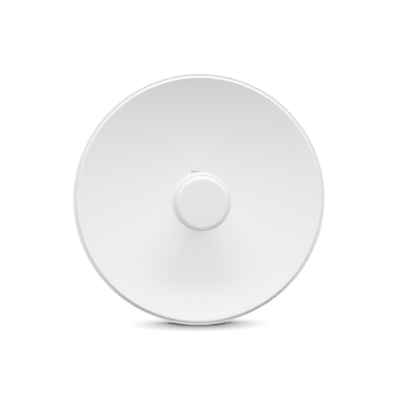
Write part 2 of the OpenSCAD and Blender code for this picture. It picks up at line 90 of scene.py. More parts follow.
# ---------------------------------------------------------------- materials
def node_tools(material):
    """Short ways to add and join nodes in a material's tree."""
    tree = material.node_tree

    def add(kind, **values):
        made = tree.nodes.new(kind)
        for key, value in values.items():
            if key in made.inputs:
                made.inputs[key].default_value = value
            else:
                setattr(made, key, value)
        return made

    def join(source, output, target, socket):
        tree.links.new(source.outputs[output], target.inputs[socket])

    return add, join


def start_material(name, colour, rough, metal):
    """A new material of one colour, and its shader."""
    material = bpy.data.materials.new(name)
    material.use_nodes = True
    shader = material.node_tree.nodes["Principled BSDF"]
    shader.inputs["Base Color"].default_value = (*colour, 1)
    shader.inputs["Roughness"].default_value = rough
    shader.inputs["Metallic"].default_value = metal
    return material, shader


def add_mottle(material, shader, colour, amount, scale):
    """Faint uneven colour, at the given scale per metre."""
    add, join = node_tools(material)
    place = add("ShaderNodeTexCoord")
    noise = add("ShaderNodeTexNoise", Scale=scale, Detail=4.0, Roughness=0.6)
    ramp = add("ShaderNodeValToRGB")
    ramp.color_ramp.elements[0].position = 0.3
    ramp.color_ramp.elements[1].position = 0.7
    ramp.color_ramp.elements[0].color = (*[c * (1 - amount) for c in colour], 1)
    ramp.color_ramp.elements[1].color = (*[min(1, c * (1 + amount)) for c in colour], 1)
    join(place, "Object", noise, "Vector")
    join(noise, "Fac", ramp, "Fac")
    join(ramp, "Color", shader, "Base Color")


def add_gloss_change(material, shader, rough, amount, scale):
    """Roughness that wanders by the given amount."""
    add, join = node_tools(material)
    place = add("ShaderNodeTexCoord")
    noise = add("ShaderNodeTexNoise", Scale=scale, Detail=3.0)
    span = add("ShaderNodeMapRange")
    span.inputs["To Min"].default_value = rough - amount
    span.inputs["To Max"].default_value = rough + amount
    join(place, "Object", noise, "Vector")
    join(noise, "Fac", span, "Value")
    join(span, "Result", shader, "Roughness")


def add_grain(material, shader, scale, height, strength=0.5, stretch=(1, 1, 1)):
    """Fine surface grain as bump; stretch draws it out along an axis."""
    add, join = node_tools(material)
    place = add("ShaderNodeTexCoord")
    spread = add("ShaderNodeMapping")
    spread.inputs["Scale"].default_value = stretch
    noise = add("ShaderNodeTexNoise", Scale=scale, Detail=5.0, Roughness=0.65)
    bump = add("ShaderNodeBump", Strength=strength, Distance=height)
    join(place, "Object", spread, "Vector")
    join(spread, "Vector", noise, "Vector")
    join(noise, "Fac", bump, "Height")
    join(bump, "Normal", shader, "Normal")


def coated(name, colour, rough, grain_scale, grain_height, mottle=0.012, coat=0.0, metal=0.0):
    """Paint, moulding or rubber: one colour, faint mottle, fine grain."""
    material, shader = start_material(name, colour, rough, metal)
    add_mottle(material, shader, colour, mottle, 18)
    add_gloss_change(material, shader, rough, 0.04, 60)
    add_grain(material, shader, grain_scale, grain_height)
    shader.inputs["Coat Weight"].default_value = coat
    shader.inputs["Coat Roughness"].default_value = 0.22
    return material


def spangled(name, colour, rough):
    """Galvanised sheet: crystal facets of slightly different greys."""
    material, shader = start_material(name, colour, rough, 0.9)
    add, join = node_tools(material)
    place = add("ShaderNodeTexCoord")
    cells = add("ShaderNodeTexVoronoi", Scale=170.0, Randomness=1.0)
    ramp = add("ShaderNodeValToRGB")
    ramp.color_ramp.elements[0].color = (*[c * 0.8 for c in colour], 1)
    ramp.color_ramp.elements[1].color = (*[min(1, c * 1.12) for c in colour], 1)
    grey = add("ShaderNodeSeparateColor")
    join(place, "Object", cells, "Vector")
    join(cells, "Color", grey, "Color")
    join(grey, "Red", ramp, "Fac")
    join(ramp, "Color", shader, "Base Color")
    span = add("ShaderNodeMapRange")
    span.inputs["To Min"].default_value = rough - 0.1
    span.inputs["To Max"].default_value = rough + 0.12
    join(grey, "Green", span, "Value")
    join(span, "Result", shader, "Roughness")
    add_grain(material, shader, 2500, 0.03 * MM, 0.35)
    return material


def drawn_metal(name, colour, rough, stretch):
    """Plated or turned metal with fine lines along one axis."""
    material, shader = start_material(name, colour, rough, 1.0)
    add_mottle(material, shader, colour, 0.06, 90)
    add_gloss_change(material, shader, rough, 0.06, 220)
    add_grain(material, shader, 900, 0.03 * MM, 0.4, stretch)
    return material


def circuit(name, colour):
    """Green solder mask with a pattern of traces under it."""
    material, shader = start_material(name, colour, 0.28, 0.0)
    add, join = node_tools(material)
    place = add("ShaderNodeTexCoord")
    tracks = add("ShaderNodeTexBrick", Scale=160.0)
    tracks.inputs["Color1"].default_value = (*[c * 1.7 for c in colour], 1)
    tracks.inputs["Color2"].default_value = (*colour, 1)
    tracks.inputs["Mortar"].default_value = (*[c * 0.55 for c in colour], 1)
    tracks.inputs["Mortar Size"].default_value = 0.06
    bump = add("ShaderNodeBump", Strength=0.3, Distance=0.05 * MM)
    join(place, "Object", tracks, "Vector")
    join(tracks, "Color", shader, "Base Color")
    join(tracks, "Fac", bump, "Height")
    join(bump, "Normal", shader, "Normal")
    return material


def clear_moulding(name, colour):
    """Clear plastic of a lens."""
    material, shader = start_material(name, colour, 0.12, 0.0)
    add_mottle(material, shader, colour, 0.03, 200)
    add_gloss_change(material, shader, 0.12, 0.03, 300)
    shader.inputs["Transmission Weight"].default_value = 0.6
    shader.inputs["IOR"].default_value = 1.49
    return material


MATERIALS = {
    "dish_coat": coated("dish_coat", (0.86, 0.865, 0.875), 0.42, 1500, 0.05 * MM, 0.008, coat=0.15),
    "white_moulding": coated("white_moulding", (0.82, 0.825, 0.83), 0.5, 2600, 0.05 * MM),
    "feed_moulding": coated("feed_moulding", (0.7, 0.705, 0.715), 0.3, 3000, 0.02 * MM, 0.006, coat=0.3),
    "galvanised_steel": spangled("galvanised_steel", (0.58, 0.6, 0.61), 0.38),
    "cast_jaw": coated("cast_jaw", (0.6, 0.61, 0.62), 0.48, 1300, 0.12 * MM, 0.05, metal=0.9),
    "zinc_fasteners": drawn_metal("zinc_fasteners", (0.66, 0.67, 0.69), 0.27, (1, 1, 1)),
    "black_rubber": coated("black_rubber", (0.03, 0.03, 0.032), 0.7, 1800, 0.08 * MM, 0.1),
    "seam_ring": coated("seam_ring", (0.42, 0.43, 0.44), 0.65, 2200, 0.05 * MM, 0.04),
    "clear_lens": clear_moulding("clear_lens", (0.78, 0.86, 0.82)),
    "spring_wire": drawn_metal("spring_wire", (0.7, 0.7, 0.71), 0.2, (1, 1, 8)),
    "horn_metal": drawn_metal("horn_metal", (0.76, 0.76, 0.77), 0.25, (1, 12, 1)),
    "circuit_board": circuit("circuit_board", (0.02, 0.16, 0.07)),
    "shield_tin": drawn_metal("shield_tin", (0.7, 0.7, 0.68), 0.3, (1, 6, 1)),
    "jack_housing": drawn_metal("jack_housing", (0.6, 0.6, 0.6), 0.3, (1, 1, 6)),
    "switch_black": coated("switch_black", (0.02, 0.02, 0.02), 0.5, 2000, 0.05 * MM, 0.1),
    "button_grey": coated("button_grey", (0.12, 0.125, 0.13), 0.5, 2600, 0.05 * MM, 0.05),
}
SLOT_OF = {s["node"]: s["material_slot"] for s in frame["record"]["subparts"]}


def dress(piece, slot):
    """Give the piece the one material of its slot."""
    piece.data.materials.clear()
    piece.data.materials.append(MATERIALS[slot])


# ---------------------------------------------------------------- mesh helpers
SHARP = math.radians(38)
WELD = 0.005 * MM
TINY = 0.001 * MM
TURNED_STEPS = 256


def make_piece(name, points, faces, body, slot, *nodes):
    """A smooth-shaded piece with crisp edges, which stands for the CAD nodes named."""
    mesh = bpy.data.meshes.new(name)
    mesh.from_pydata(points, [], faces)
    mesh.validate()
    tidy = bmesh.new()
    tidy.from_mesh(mesh)
    bmesh.ops.remove_doubles(tidy, verts=tidy.verts, dist=WELD)
    bmesh.ops.recalc_face_normals(tidy, faces=tidy.faces)
    tidy.to_mesh(mesh)
    tidy.free()
    mesh.update()
    for polygon in mesh.polygons:
        polygon.use_smooth = True
    mesh.set_sharp_from_angle(angle=SHARP)
    piece = bpy.data.objects.new(name, mesh)
    bpy.context.scene.collection.objects.link(piece)
    dress(piece, slot)
    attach(piece, body)
    if nodes:
        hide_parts(*nodes)
    return piece


def arc(centre, radius, start, end, steps):
    """Points of an arc in the (radius, forward) plane; angles in degrees."""
    angles = [math.radians(start + (end - start) * i / steps) for i in range(steps + 1)]
    return [(centre[0] + radius * math.cos(a), centre[1] + radius * math.sin(a)) for a in angles]


def lathe(outline, steps, window=None):
    """Points and faces of a closed outline of (radius, forward) turned about the dish's axis.

    window(step, i, k) is true where the face between outline points i and k is left out."""
    count = len(outline)
    points = []
    for j in range(steps):
        angle = TAU * j / steps
        for radius, s in outline:
            points.append((radius * math.sin(angle), -s, radius * math.cos(angle)))
    faces = []
    for j in range(steps):
        here, there = j * count, (j + 1) % steps * count
        for i in range(count):
            k = (i + 1) % count
            if window and window(j, i, k):
                continue
            faces.append((here + i, here + k, there + k, there + i))
    return points, faces


def turned(name, outline, body, slot, *nodes):
    """A turned piece from a closed outline."""
    points, faces = lathe(outline, TURNED_STEPS)
    make_piece(name, points, faces, body, slot, *nodes)


# ---------------------------------------------------------------- dish
RIM_WIDTH = 8.8 * MM
SHEET = 1.0 * MM
DISH_DEPTH = 72 * MM
LIP_RADIUS = 1.3 * MM
WALL_LEAN = 23
WALL_LENGTH = 6.8 * MM
GROOVE_INSET = 1.3 * MM
GROOVE_DEPTH = 0.5 * MM
SLOT_STEPS = (-13, 5)
SLOT_RADII = (41.1 * MM, 47.6 * MM)
SLOT_CLEAR = 1.2 * MM
DISH_STEPS = 360
DISH_RINGS = 60
GROOVE_RINGS = 14
LIP_LAP = 5
CURL_TURN = 240


def rim_section(aperture, outer, rim, slope):
    """Points of the rolled rim: over the lip, down the leaning wall, round the curled bead and back."""
    lean = math.radians(WALL_LEAN)
    tilt = math.radians(slope)
    lip = (aperture + LIP_RADIUS * math.sin(tilt), rim - LIP_RADIUS * math.cos(tilt))
    foot = (
        lip[0] + LIP_RADIUS * math.cos(lean) + WALL_LENGTH * math.sin(lean),
        lip[1] + LIP_RADIUS * math.sin(lean) - WALL_LENGTH * math.cos(lean),
    )
    curl = (outer - SHEET - foot[0]) / (1 + math.cos(lean))
    centre = (foot[0] + curl * math.cos(lean), foot[1] + curl * math.sin(lean))
    curl_start = 180 + WALL_LEAN
    curl_end = curl_start + CURL_TURN
    return (
        arc(lip, LIP_RADIUS, 90 + slope - LIP_LAP, WALL_LEAN, 16)
        + arc(centre, curl, curl_start, curl_end, 24)
        + arc(centre, curl + SHEET, curl_end, curl_start, 32)
        + arc(lip, LIP_RADIUS - SHEET, WALL_LEAN, 90 + slope, 10)
    )


def slot_walls(total, low, high):
    """Faces through the sheet round the slot; total is the outline's point count, low and high its rings."""
    span = [j % DISH_STEPS for j in range(SLOT_STEPS[0], SLOT_STEPS[1] + 1)]
    faces = []

    def at(j, i):
        return j * total + i

    for a, b in zip(span, span[1:]):
        faces.append((at(a, low), at(a, total - 1 - low), at(b, total - 1 - low), at(b, low)))
        faces.append((at(b, high), at(b, total - 1 - high), at(a, total - 1 - high), at(a, high)))
    a, b = span[0], span[-1]
    for i in range(low, high):
        faces.append((at(a, i), at(a, i + 1), at(a, total - 2 - i), at(a, total - 1 - i)))
        faces.append((at(b, i + 1), at(b, i), at(b, total - 1 - i), at(b, total - 2 - i)))
    return faces


def dish():
    """The pressed bowl with its rolled rim, and the slot that the release tab reaches through."""
    hole, outer = radius_range("dish_reflector")
    back, _ = forward_span("dish_reflector")
    aperture = outer - RIM_WIDTH
    focal = aperture**2 / (4 * DISH_DEPTH)
    vertex = back - hole**2 / (4 * focal)
    slope = math.degrees(math.atan(aperture / (2 * focal)))
    rim = vertex + SHEET + DISH_DEPTH
    radii = [hole + (aperture - hole) * i / DISH_RINGS for i in range(DISH_RINGS + 1)]
    radii = [r for r in radii if all(abs(r - w) > SLOT_CLEAR for w in SLOT_RADII)]
    radii = [r for r in radii if r < aperture - 2 * GROOVE_INSET]
    radii += [aperture - 2 * GROOVE_INSET * (1 - i / GROOVE_RINGS) for i in range(GROOVE_RINGS + 1)]
    radii = sorted(radii + list(SLOT_RADII))

    def groove(r):
        """A pressed groove just inside the edge, which stiffens the rim."""
        t = abs(r - (aperture - GROOVE_INSET)) / GROOVE_INSET
        return GROOVE_DEPTH * (0.5 + 0.5 * math.cos(math.pi * t)) if t < 1 else 0

    front = [(r, vertex + SHEET + r * r / (4 * focal) - groove(r)) for r in radii]
    behind = [(r, vertex + r * r / (4 * focal) - groove(r)) for r in reversed(radii)]
    outline = front + rim_section(aperture, outer, rim, slope) + behind
    low = radii.index(SLOT_RADII[0])
    high = radii.index(SLOT_RADII[1])
    total = len(outline)

    def in_window(j, i, k):
        """Whether the face between outline points i and k at turn j lies in the slot."""
        step = j if j < DISH_STEPS / 2 else j - DISH_STEPS
        if not SLOT_STEPS[0] <= step < SLOT_STEPS[1]:
            return False
        on_front = low <= i < k <= high
        on_back = total - 1 - high <= i < k <= total - 1 - low
        return on_front or on_back

    points, faces = lathe(outline, DISH_STEPS, in_window)
    faces += slot_walls(total, low, high)
    make_piece("dish", points, faces, "head", "dish_coat", "dish_reflector")
    return rim


# ---------------------------------------------------------------- feed
FACE_RADIUS = 39.5 * MM
FEED_WALL = 2.4 * MM
CAP_FILLET = 1.2 * MM
CAP_LOW_ROUND = 0.5 * MM
SHOULDER_LENGTH = 13 * MM
STRAIGHT_LENGTH = 14 * MM
SHOULDER_STEPS = 16
FLARE_STEPS = 24
SPIGOT_DEPTH = 5.8 * MM
SLIP = 0.05 * MM
SEAM_INSET = 0.3 * MM
SEAM_WIDTH = 1.8 * MM
SEAM_DEPTH = 2.4 * MM


def front_cap():
    """The shallow cap with its flat face, sloping edge and the spigot inside the drum."""
    _, radius = radius_range("front_cap")
    back, face = forward_span("front_cap")
    seam = forward_span("cap_seal")[1]
    spigot = radius_range("cap_seal")[0]
    slope = math.degrees(math.atan((radius - FACE_RADIUS) / (face - seam)))
    edge = arc((FACE_RADIUS - CAP_FILLET, face - CAP_FILLET), CAP_FILLET, 90, slope, 6)
    outline = (
        [(TINY, face)]
        + edge
        + arc((radius - CAP_LOW_ROUND, seam + CAP_LOW_ROUND), CAP_LOW_ROUND, 0, -90, 5)
        + [(spigot, seam), (spigot, back), (spigot - FEED_WALL, back)]
        + [(FACE_RADIUS - FEED_WALL, face - FEED_WALL), (TINY, face - FEED_WALL)]
    )
    turned("cap", outline, "feed", "feed_moulding", "front_cap")


def feed_drum():
    """The drum behind the cap, tapering to the tube."""
    back, front = forward_span("feed_drum")
    _, drum = radius_range("feed_drum")
    _, cap = radius_range("front_cap")
    mouth = radius_range("cap_seal")[0] + SLIP
    tube = radius_range("feed_tube")[1]
    shoulder = front - SHOULDER_LENGTH
    flare_end = shoulder - STRAIGHT_LENGTH

    def flare(t):
        """Outer radius at a share of the way from tube to drum."""
        return tube + FEED_WALL + (drum - tube - FEED_WALL) * (1 - math.cos(math.pi * t)) / 2

    def station(t):
        """How far forward a place along the flare is."""
        return back + (flare_end - back) * t

    shares = [i / FLARE_STEPS for i in range(FLARE_STEPS + 1)]
    outer = [(flare(t), station(t)) for t in shares]
    crest = math.acos(SEAM_WIDTH / (drum - cap))
    turns = [crest * i / SHOULDER_STEPS for i in range(SHOULDER_STEPS + 1)]
    top = [(cap + (drum - cap) * math.cos(a), shoulder + SHOULDER_LENGTH * math.sin(a)) for a in turns]
    # a sunk ring round the cap, which shows as the dark line below it
    ring = cap + SEAM_WIDTH - SEAM_INSET
    top += [(ring, top[-1][1]), (ring - 0.1 * MM, front - SEAM_DEPTH)]
    top += [(cap - SEAM_INSET, front - SEAM_DEPTH), (cap - SEAM_INSET, front)]
    inner = [(mouth, front), (mouth, front - SPIGOT_DEPTH)]
    inner += [(drum - FEED_WALL, shoulder - 2 * MM), (drum - FEED_WALL, flare_end)]
    inner += [(max(tube + SLIP, flare(t) - 1.2 * FEED_WALL), station(t)) for t in reversed(shares[:-1])]
    turned("drum", outer + top + inner, "feed", "feed_moulding", "feed_drum")


# ---------------------------------------------------------------- fasteners
HEX_SIDES = 6
# flange diameter over width across flats, then width across flats over thread radius
HEX_REACH = 1.36
ACROSS_COARSE = 3.3
ACROSS_FINE = 3.34
HEAD_HEIGHT = 1.4
DOME_HEIGHT = 1.1
DOME_REACH = 2.3
WASHER_REACH = {"coarse": 2.3, "fine": 2.5}
WASHER_PLAY = 0.1 * MM
THREAD_TURN = 36
THREAD_ROWS = 5
THREAD_PITCH = {"coarse": 1.25 * MM, "fine": 1.0 * MM}
POLE_FACE, FRONT_FACE = Vector((0, 1, 0)), Vector((0, -1, 0))
RIGHT, LEFT = Vector((1, 0, 0)), Vector((-1, 0, 0))


def solid_of(profile, sides_of=None, steps=48):
    """A turned solid along +Z from a profile of (radius, height), which is closed or ends on the axis.

    sides_of(radius, angle) may pull a radius in, as the flats of a hexagon do."""
    points, faces = [], []
    for radius, height in profile:
        for k in range(steps):
            angle = TAU * k / steps
            r = sides_of(radius, angle) if sides_of else radius
            points.append((r * math.cos(angle), r * math.sin(angle), height))
    for i in range(len(profile) - 1):
        for k in range(steps):
            m = (k + 1) % steps
            a, b = i * steps, (i + 1) * steps
            faces.append((a + k, a + m, b + m, b + k))
    return points, faces


def flats(across):
    """Radius of a hexagon of the given width across flats, or less."""

    def pull(radius, angle):
        turn = (angle + math.pi / HEX_SIDES) % (TAU / HEX_SIDES) - math.pi / HEX_SIDES
        return min(radius, 0.5 * across / math.cos(turn))

    return pull


def shank(radius, start, end, pitch):
    """A threaded rod from start to end: one helical ridge, chamfered at both ends."""
    depth = 0.55 * pitch
    rows = int((end - start) / pitch * THREAD_ROWS)
    points, faces = [], []
    for i in range(rows + 1):
        z = start + (end - start) * i / rows
        ends = min(z - start, end - z) / (1.2 * depth)
        for k in range(THREAD_TURN):
            angle = TAU * k / THREAD_TURN
            wave = 0.5 + 0.5 * math.cos(TAU * (z / pitch) - angle)
            r = min(radius - depth * (1 - wave), radius - depth * (1 - min(1, ends)))
            points.append((r * math.cos(angle), r * math.sin(angle), z))
    for i in range(rows):
        for k in range(THREAD_TURN):
            m = (k + 1) % THREAD_TURN
            a, b = i * THREAD_TURN, (i + 1) * THREAD_TURN
            faces.append((a + k, a + m, b + m, b + k))
    faces.append(tuple(reversed(range(THREAD_TURN))))
    faces.append(tuple(range(rows * THREAD_TURN, (rows + 1) * THREAD_TURN)))
    return points, faces


def plain_shank(radius, start, end):
    """A smooth rod from start to end, chamfered at both ends."""
    chamfer = 0.12 * radius
    return solid_of(
        [
            (TINY, start),
            (radius - chamfer, start),
            (radius, start + chamfer),
            (radius, end - chamfer),
            (radius - chamfer, end),
            (TINY, end),
        ]
    )


def hex_on_flange(across, height, bore=None):
    """A hexagon head or nut standing on its flange, with rounded corners at the top."""
    flange = 0.68 * across
    rim = 0.2 * height
    top = [(0.6 * across, rim), (0.6 * across, 0.72 * height), (0.53 * across, 0.93 * height)]
    top += [(0.46 * across, height)]
    foot = [(flange - 0.15 * rim, 0), (flange, 0.25 * rim), (flange, 0.7 * rim), (flange - 0.5 * rim, rim)]
    low = foot + [(0.58 * across, rim)]
    if bore is None:
        outline = [(TINY, 0)] + low + top + [(0.4 * across, height * 0.97), (TINY, height * 0.95)]
    else:
        ease = 0.08 * across
        outline = [(bore, ease), (bore + ease, 0)] + low + top
        outline += [(bore + ease, height), (bore, height - ease), (bore, ease)]

    hexagon = flats(across)

    def pull(radius, angle):
        return hexagon(radius, angle) if radius < 0.6 * across + TINY and radius > 0.45 * across else radius

    return solid_of(outline, pull, 96)


def washer(outer, bore, thickness):
    """A flat washer with eased edges."""
    ease = 0.2 * thickness
    outline = [(bore, ease), (bore + ease, 0), (outer - ease, 0), (outer, ease), (outer, thickness - ease)]
    outline += [(outer - ease, thickness), (bore + ease, thickness), (bore, thickness - ease), (bore, ease)]
    return solid_of(outline, None, 72)


def mushroom(radius, height):
    """The low domed head of a carriage bolt."""
    ball = (radius * radius + height * height) / (2 * height)
    low = 0.12 * height
    start = math.asin(min(1, radius / ball))
    outline = [(TINY, 0), (radius - low, 0), (radius, low)]
    for i in range(1, 13):
        angle = start * (1 - i / 12)
        outline.append((max(TINY, ball * math.sin(angle)), max(low, ball * math.cos(angle) - ball + height)))
    return solid_of(outline, None, 72)


def square_neck(width, start, end):
    """The square part below a carriage bolt's head."""
    half = width / 2
    points = [(x * half, y * half, z) for z in (start, end) for x, y in ((-1, -1), (1, -1), (1, 1), (-1, 1))]
    faces = [(3, 2, 1, 0), (4, 5, 6, 7)]
    faces += [(k, (k + 1) % 4, (k + 1) % 4 + 4, k + 4) for k in range(4)]
    return points, faces


def placed(solid, foot, way, spin=0.0):
    """The solid with its foot at a place and its +Z turned to a way; spin is in degrees about it."""
    turn = way.to_track_quat("Z", "Y").to_matrix()
    twist = Vector((math.cos(math.radians(spin)), math.sin(math.radians(spin))))
    points = []
    for x, y, z in solid[0]:
        spun = Vector((x * twist.x - y * twist.y, x * twist.y + y * twist.x, z))
        points.append(tuple(Vector(foot) + turn @ spun))
    return points, solid[1]


def joined(name, solids, body, slot, *nodes):
    """One piece made of several solids."""
    points, faces = [], []
    for more_points, more_faces in solids:
        start = len(points)
        points += more_points
        faces += [tuple(start + i for i in face) for face in more_faces]
    return make_piece(name, points, faces, body, slot, *nodes)


def loose_parts(node):
    """The boxes (low, high) of a node's separate solids."""
    mesh = NODES[node].data
    places = {}
    owner = []
    for vertex in mesh.vertices:
        key = tuple(round(c, 6) for c in vertex.co)
        owner.append(places.setdefault(key, len(places)))
    parent = list(range(len(places)))

    def root(i):
        while parent[i] != i:
            parent[i] = parent[parent[i]]
            i = parent[i]
        return i

    for edge in mesh.edges:
        a, b = (root(owner[v]) for v in edge.vertices)
        parent[a] = b
    boxes = {}
    for vertex, place in zip(mesh.vertices, owner):
        low, high = boxes.setdefault(root(place), (vertex.co.copy(), vertex.co.copy()))
        for axis in range(3):
            low[axis] = min(low[axis], vertex.co[axis])
            high[axis] = max(high[axis], vertex.co[axis])
    return sorted(boxes.values(), key=lambda box: tuple(round(c, 4) for c in box[0]))


def middle(box):
    """The centre of a (low, high) box."""
    return (box[0] + box[1]) / 2


def clamp_hardware():
    """Carriage bolts with their flange nuts on the clamp."""
    bolts, nuts = [], []
    plate_back = -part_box("pole_bracket")[1].y
    for low, high in loose_parts("clamp_bolts"):
        centre = middle((low, high))
        head = (high.x - low.x) / 2
        radius = head / DOME_REACH
        head_height = DOME_HEIGHT * radius
        front = -low.y - head_height
        foot = (centre.x, 0, centre.z)
        neck = square_neck(2 * radius, plate_back, front)
        bolts.append(placed(neck, foot, FRONT_FACE))
        bolts.append(placed(mushroom(head, head_height), (centre.x, -front, centre.z), FRONT_FACE))
        bolts.append(placed(shank(radius, -high.y, plate_back, THREAD_PITCH["coarse"]), foot, FRONT_FACE))
    joined("carriage_bolts", bolts, "mount", "zinc_fasteners", "clamp_bolts")
    for k, box in enumerate(loose_parts("clamp_nuts")):
        centre = middle(box)
        across = (box[1].x - box[0].x) / HEX_REACH
        nut = hex_on_flange(across, box[1].y - box[0].y, across / ACROSS_COARSE)
        nuts.append(placed(nut, (centre.x, box[0].y, centre.z), POLE_FACE, 12 + 17 * k))
    joined("jaw_nuts", nuts, "outer_jaw", "zinc_fasteners", "clamp_nuts")


def pivot_hardware():
    """The hinge's bolt, washers and nut."""
    low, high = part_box("pivot_bolt")
    across = (high.z - low.z) / HEX_REACH
    radius = across / ACROSS_COARSE
    head = HEAD_HEIGHT * radius
    centre = middle((low, high))
    hinge = (0, centre.y, centre.z)
    head_foot = high.x - head
    thread_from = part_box("pivot_nut")[0].x - 2 * MM
    thread_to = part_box("pivot_washers")[0].x + 6 * MM
    bolt = [placed(hex_on_flange(across, head), (head_foot, centre.y, centre.z), RIGHT, 9)]
    bolt.append(placed(shank(radius, thread_from, thread_to, THREAD_PITCH["coarse"]), hinge, RIGHT))
    bolt.append(placed(plain_shank(radius, thread_to, head_foot), hinge, RIGHT))
    joined("hinge_bolt", bolt, "mount", "zinc_fasteners", "pivot_bolt")
    rings = []
    for box in loose_parts("pivot_washers"):
        size = (box[1].z - box[0].z) / 2
        ring = washer(size, size / WASHER_REACH["coarse"] + WASHER_PLAY, box[1].x - box[0].x)
        rings.append(placed(ring, (box[0].x, *middle(box)[1:]), RIGHT))
    joined("hinge_washers", rings, "mount", "zinc_fasteners", "pivot_washers")
    low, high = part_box("pivot_nut")
    nut = hex_on_flange((high.z - low.z) / HEX_REACH, high.x - low.x, radius)
    nuts = [placed(nut, (high.x, centre.y, centre.z), LEFT, 22)]
    joined("hinge_nut", nuts, "mount", "zinc_fasteners", "pivot_nut")


def lock_hardware():
    """Bolts, washers and nuts in the tilt slots."""
    bolts, rings, nuts = [], [], []
    for k, box in enumerate(loose_parts("lock_bolts")):
        centre = middle(box)
        way = RIGHT if centre.x > 0 else LEFT
        near, far = sorted((abs(box[0].x), abs(box[1].x)))
        across = (box[1].z - box[0].z) / HEX_REACH
        radius = across / ACROSS_FINE
        head = HEAD_HEIGHT * radius
        axis = (0, centre.y, centre.z)
        bolts.append(placed(hex_on_flange(across, head), (way.x * (far - head), *axis[1:]), way, 14 * k))
        bolts.append(placed(shank(radius, near, far - head, THREAD_PITCH["fine"]), axis, way))
    for box in loose_parts("lock_washers"):
        way = RIGHT if middle(box).x > 0 else LEFT
        size = (box[1].z - box[0].z) / 2
        near, far = sorted((abs(box[0].x), abs(box[1].x)))
        ring = washer(size, size / WASHER_REACH["fine"] + WASHER_PLAY, far - near)
        rings.append(placed(ring, (way.x * near, *middle(box)[1:]), way))
    for k, box in enumerate(loose_parts("lock_nuts")):
        way = LEFT if middle(box).x > 0 else RIGHT
        near, far = sorted((abs(box[0].x), abs(box[1].x)))
        across = (box[1].z - box[0].z) / HEX_REACH
        nut = hex_on_flange(across, far - near, across / ACROSS_FINE)
        nuts.append(placed(nut, (-way.x * far, *middle(box)[1:]), way, 8 + 19 * k))
    joined("tilt_bolts", bolts, "head", "zinc_fasteners", "lock_bolts")
    joined("tilt_washers", rings, "head", "zinc_fasteners", "lock_washers")
    joined("tilt_nuts", nuts, "head", "zinc_fasteners", "lock_nuts")


def stud_hardware():
    """Threaded studs on the dish and the nuts that hold housing and bracket."""
    studs, nuts = [], []
    for box in loose_parts("dish_studs"):
        centre = middle(box)
        radius = (box[1].x - box[0].x) / 2
        foot = (centre.x, 0, centre.z)
        studs.append(placed(shank(radius, -box[1].y, -box[0].y, THREAD_PITCH["fine"]), foot, FRONT_FACE))
    for k, box in enumerate(loose_parts("stud_nuts")):
        centre = middle(box)
        across = (box[1].x - box[0].x) / HEX_REACH
        nut = hex_on_flange(across, box[1].y - box[0].y, across / ACROSS_FINE)
        nuts.append(placed(nut, (centre.x, box[0].y, centre.z), POLE_FACE, 5 + 23 * k))
    joined("threaded_studs", studs, "head", "zinc_fasteners", "dish_studs")
    joined("bracket_nuts", nuts, "head", "zinc_fasteners", "stud_nuts")


def coil_spring():
    """The latch's spring as a real helix of round wire."""
    low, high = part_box("latch_spring")
    wire = 0.25 * MM
    radius = (high.x - low.x) / 2 - wire
    turns, per_turn, around = 7.5, 28, 10
    up = Vector((0, 0, 1))
    centre = middle((low, high))
    start, end = low.z + wire, high.z - wire
    points, faces = [], []
    total = int(turns * per_turn)
    for i in range(total + 1):
        t = i / total
        angle = TAU * turns * t
        # the first and last turn lie flat, as ground ends do
        climb = min(1, max(0, (t * turns - 0.8) / (turns - 1.6)))
        out = Vector((math.cos(angle), math.sin(angle), 0))
        spine = Vector((centre.x, centre.y, start + (end - start) * climb)) + radius * out
        for k in range(around):
            turn = TAU * k / around
            across = math.cos(turn) * out + math.sin(turn) * up
            points.append(tuple(spine + wire * across))
    for i in range(total):
        for k in range(around):
            m = (k + 1) % around
            a, b = i * around, (i + 1) * around
            faces.append((a + k, b + k, b + m, a + m))
    faces.append(tuple(range(around)))
    faces.append(tuple(range(total * around, (total + 1) * around))[::-1])
    spring = make_piece("coil_spring", points, faces, "head", "spring_wire", "latch_spring")
    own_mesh(spring)


# ---------------------------------------------------------------- CAD nodes that keep their shape
BEVEL_ANGLE = math.radians(40)
BEVELS = {
    "pole_bracket": 0.5,
    "head_bracket": 0.5,
    "inner_jaw": 0.7,
    "outer_jaw": 0.7,
    "rear_housing": 0.35,
    "port_cover": 0.4,
    "release_latch": 0.3,
    "rj45_jack": 0.2,
}


def keep_cad_nodes():
    """Every CAD node takes its material; the larger ones get softened edges."""
    for name, piece in NODES.items():
        dress(piece, SLOT_OF[name])
        weld = piece.modifiers.new("weld", "WELD")
        weld.merge_threshold = WELD
        if name in BEVELS:
            bevel = piece.modifiers.new("bevel", "BEVEL")
            bevel.width = BEVELS[name] * MM
            bevel.segments = 2
            bevel.limit_method = "ANGLE"
            bevel.angle_limit = BEVEL_ANGLE
            bevel.harden_normals = False
        for polygon in piece.data.polygons:
            polygon.use_smooth = True


# ---------------------------------------------------------------- studio
FLOOR_SIZE = 30.0
# how far behind the rim's front the centre of the floor's painted shadow lies
RIM_DROP = 8 * MM
PAPER_WHITE = 26.0
# painted shadow on the floor under the dish: emission strength at its core, reach of its occlusion shade,
# size of its gradient
PAINTED_SHADOW_STRENGTH = 0.09
PAINTED_SHADE_REACH = 0.1
PAINTED_SHADOW_SIZE = (0.13, 0.075, 1)
FLOOR_BOUNCE = 0.05
PATCH_BOUNCE = 0.5
FILL_LIGHT = 0.3
CAMERA_WAY = (-4, 5)
CAMERA_DISTANCE = 2.2
CAMERA_ANGLE = math.radians(17.13)


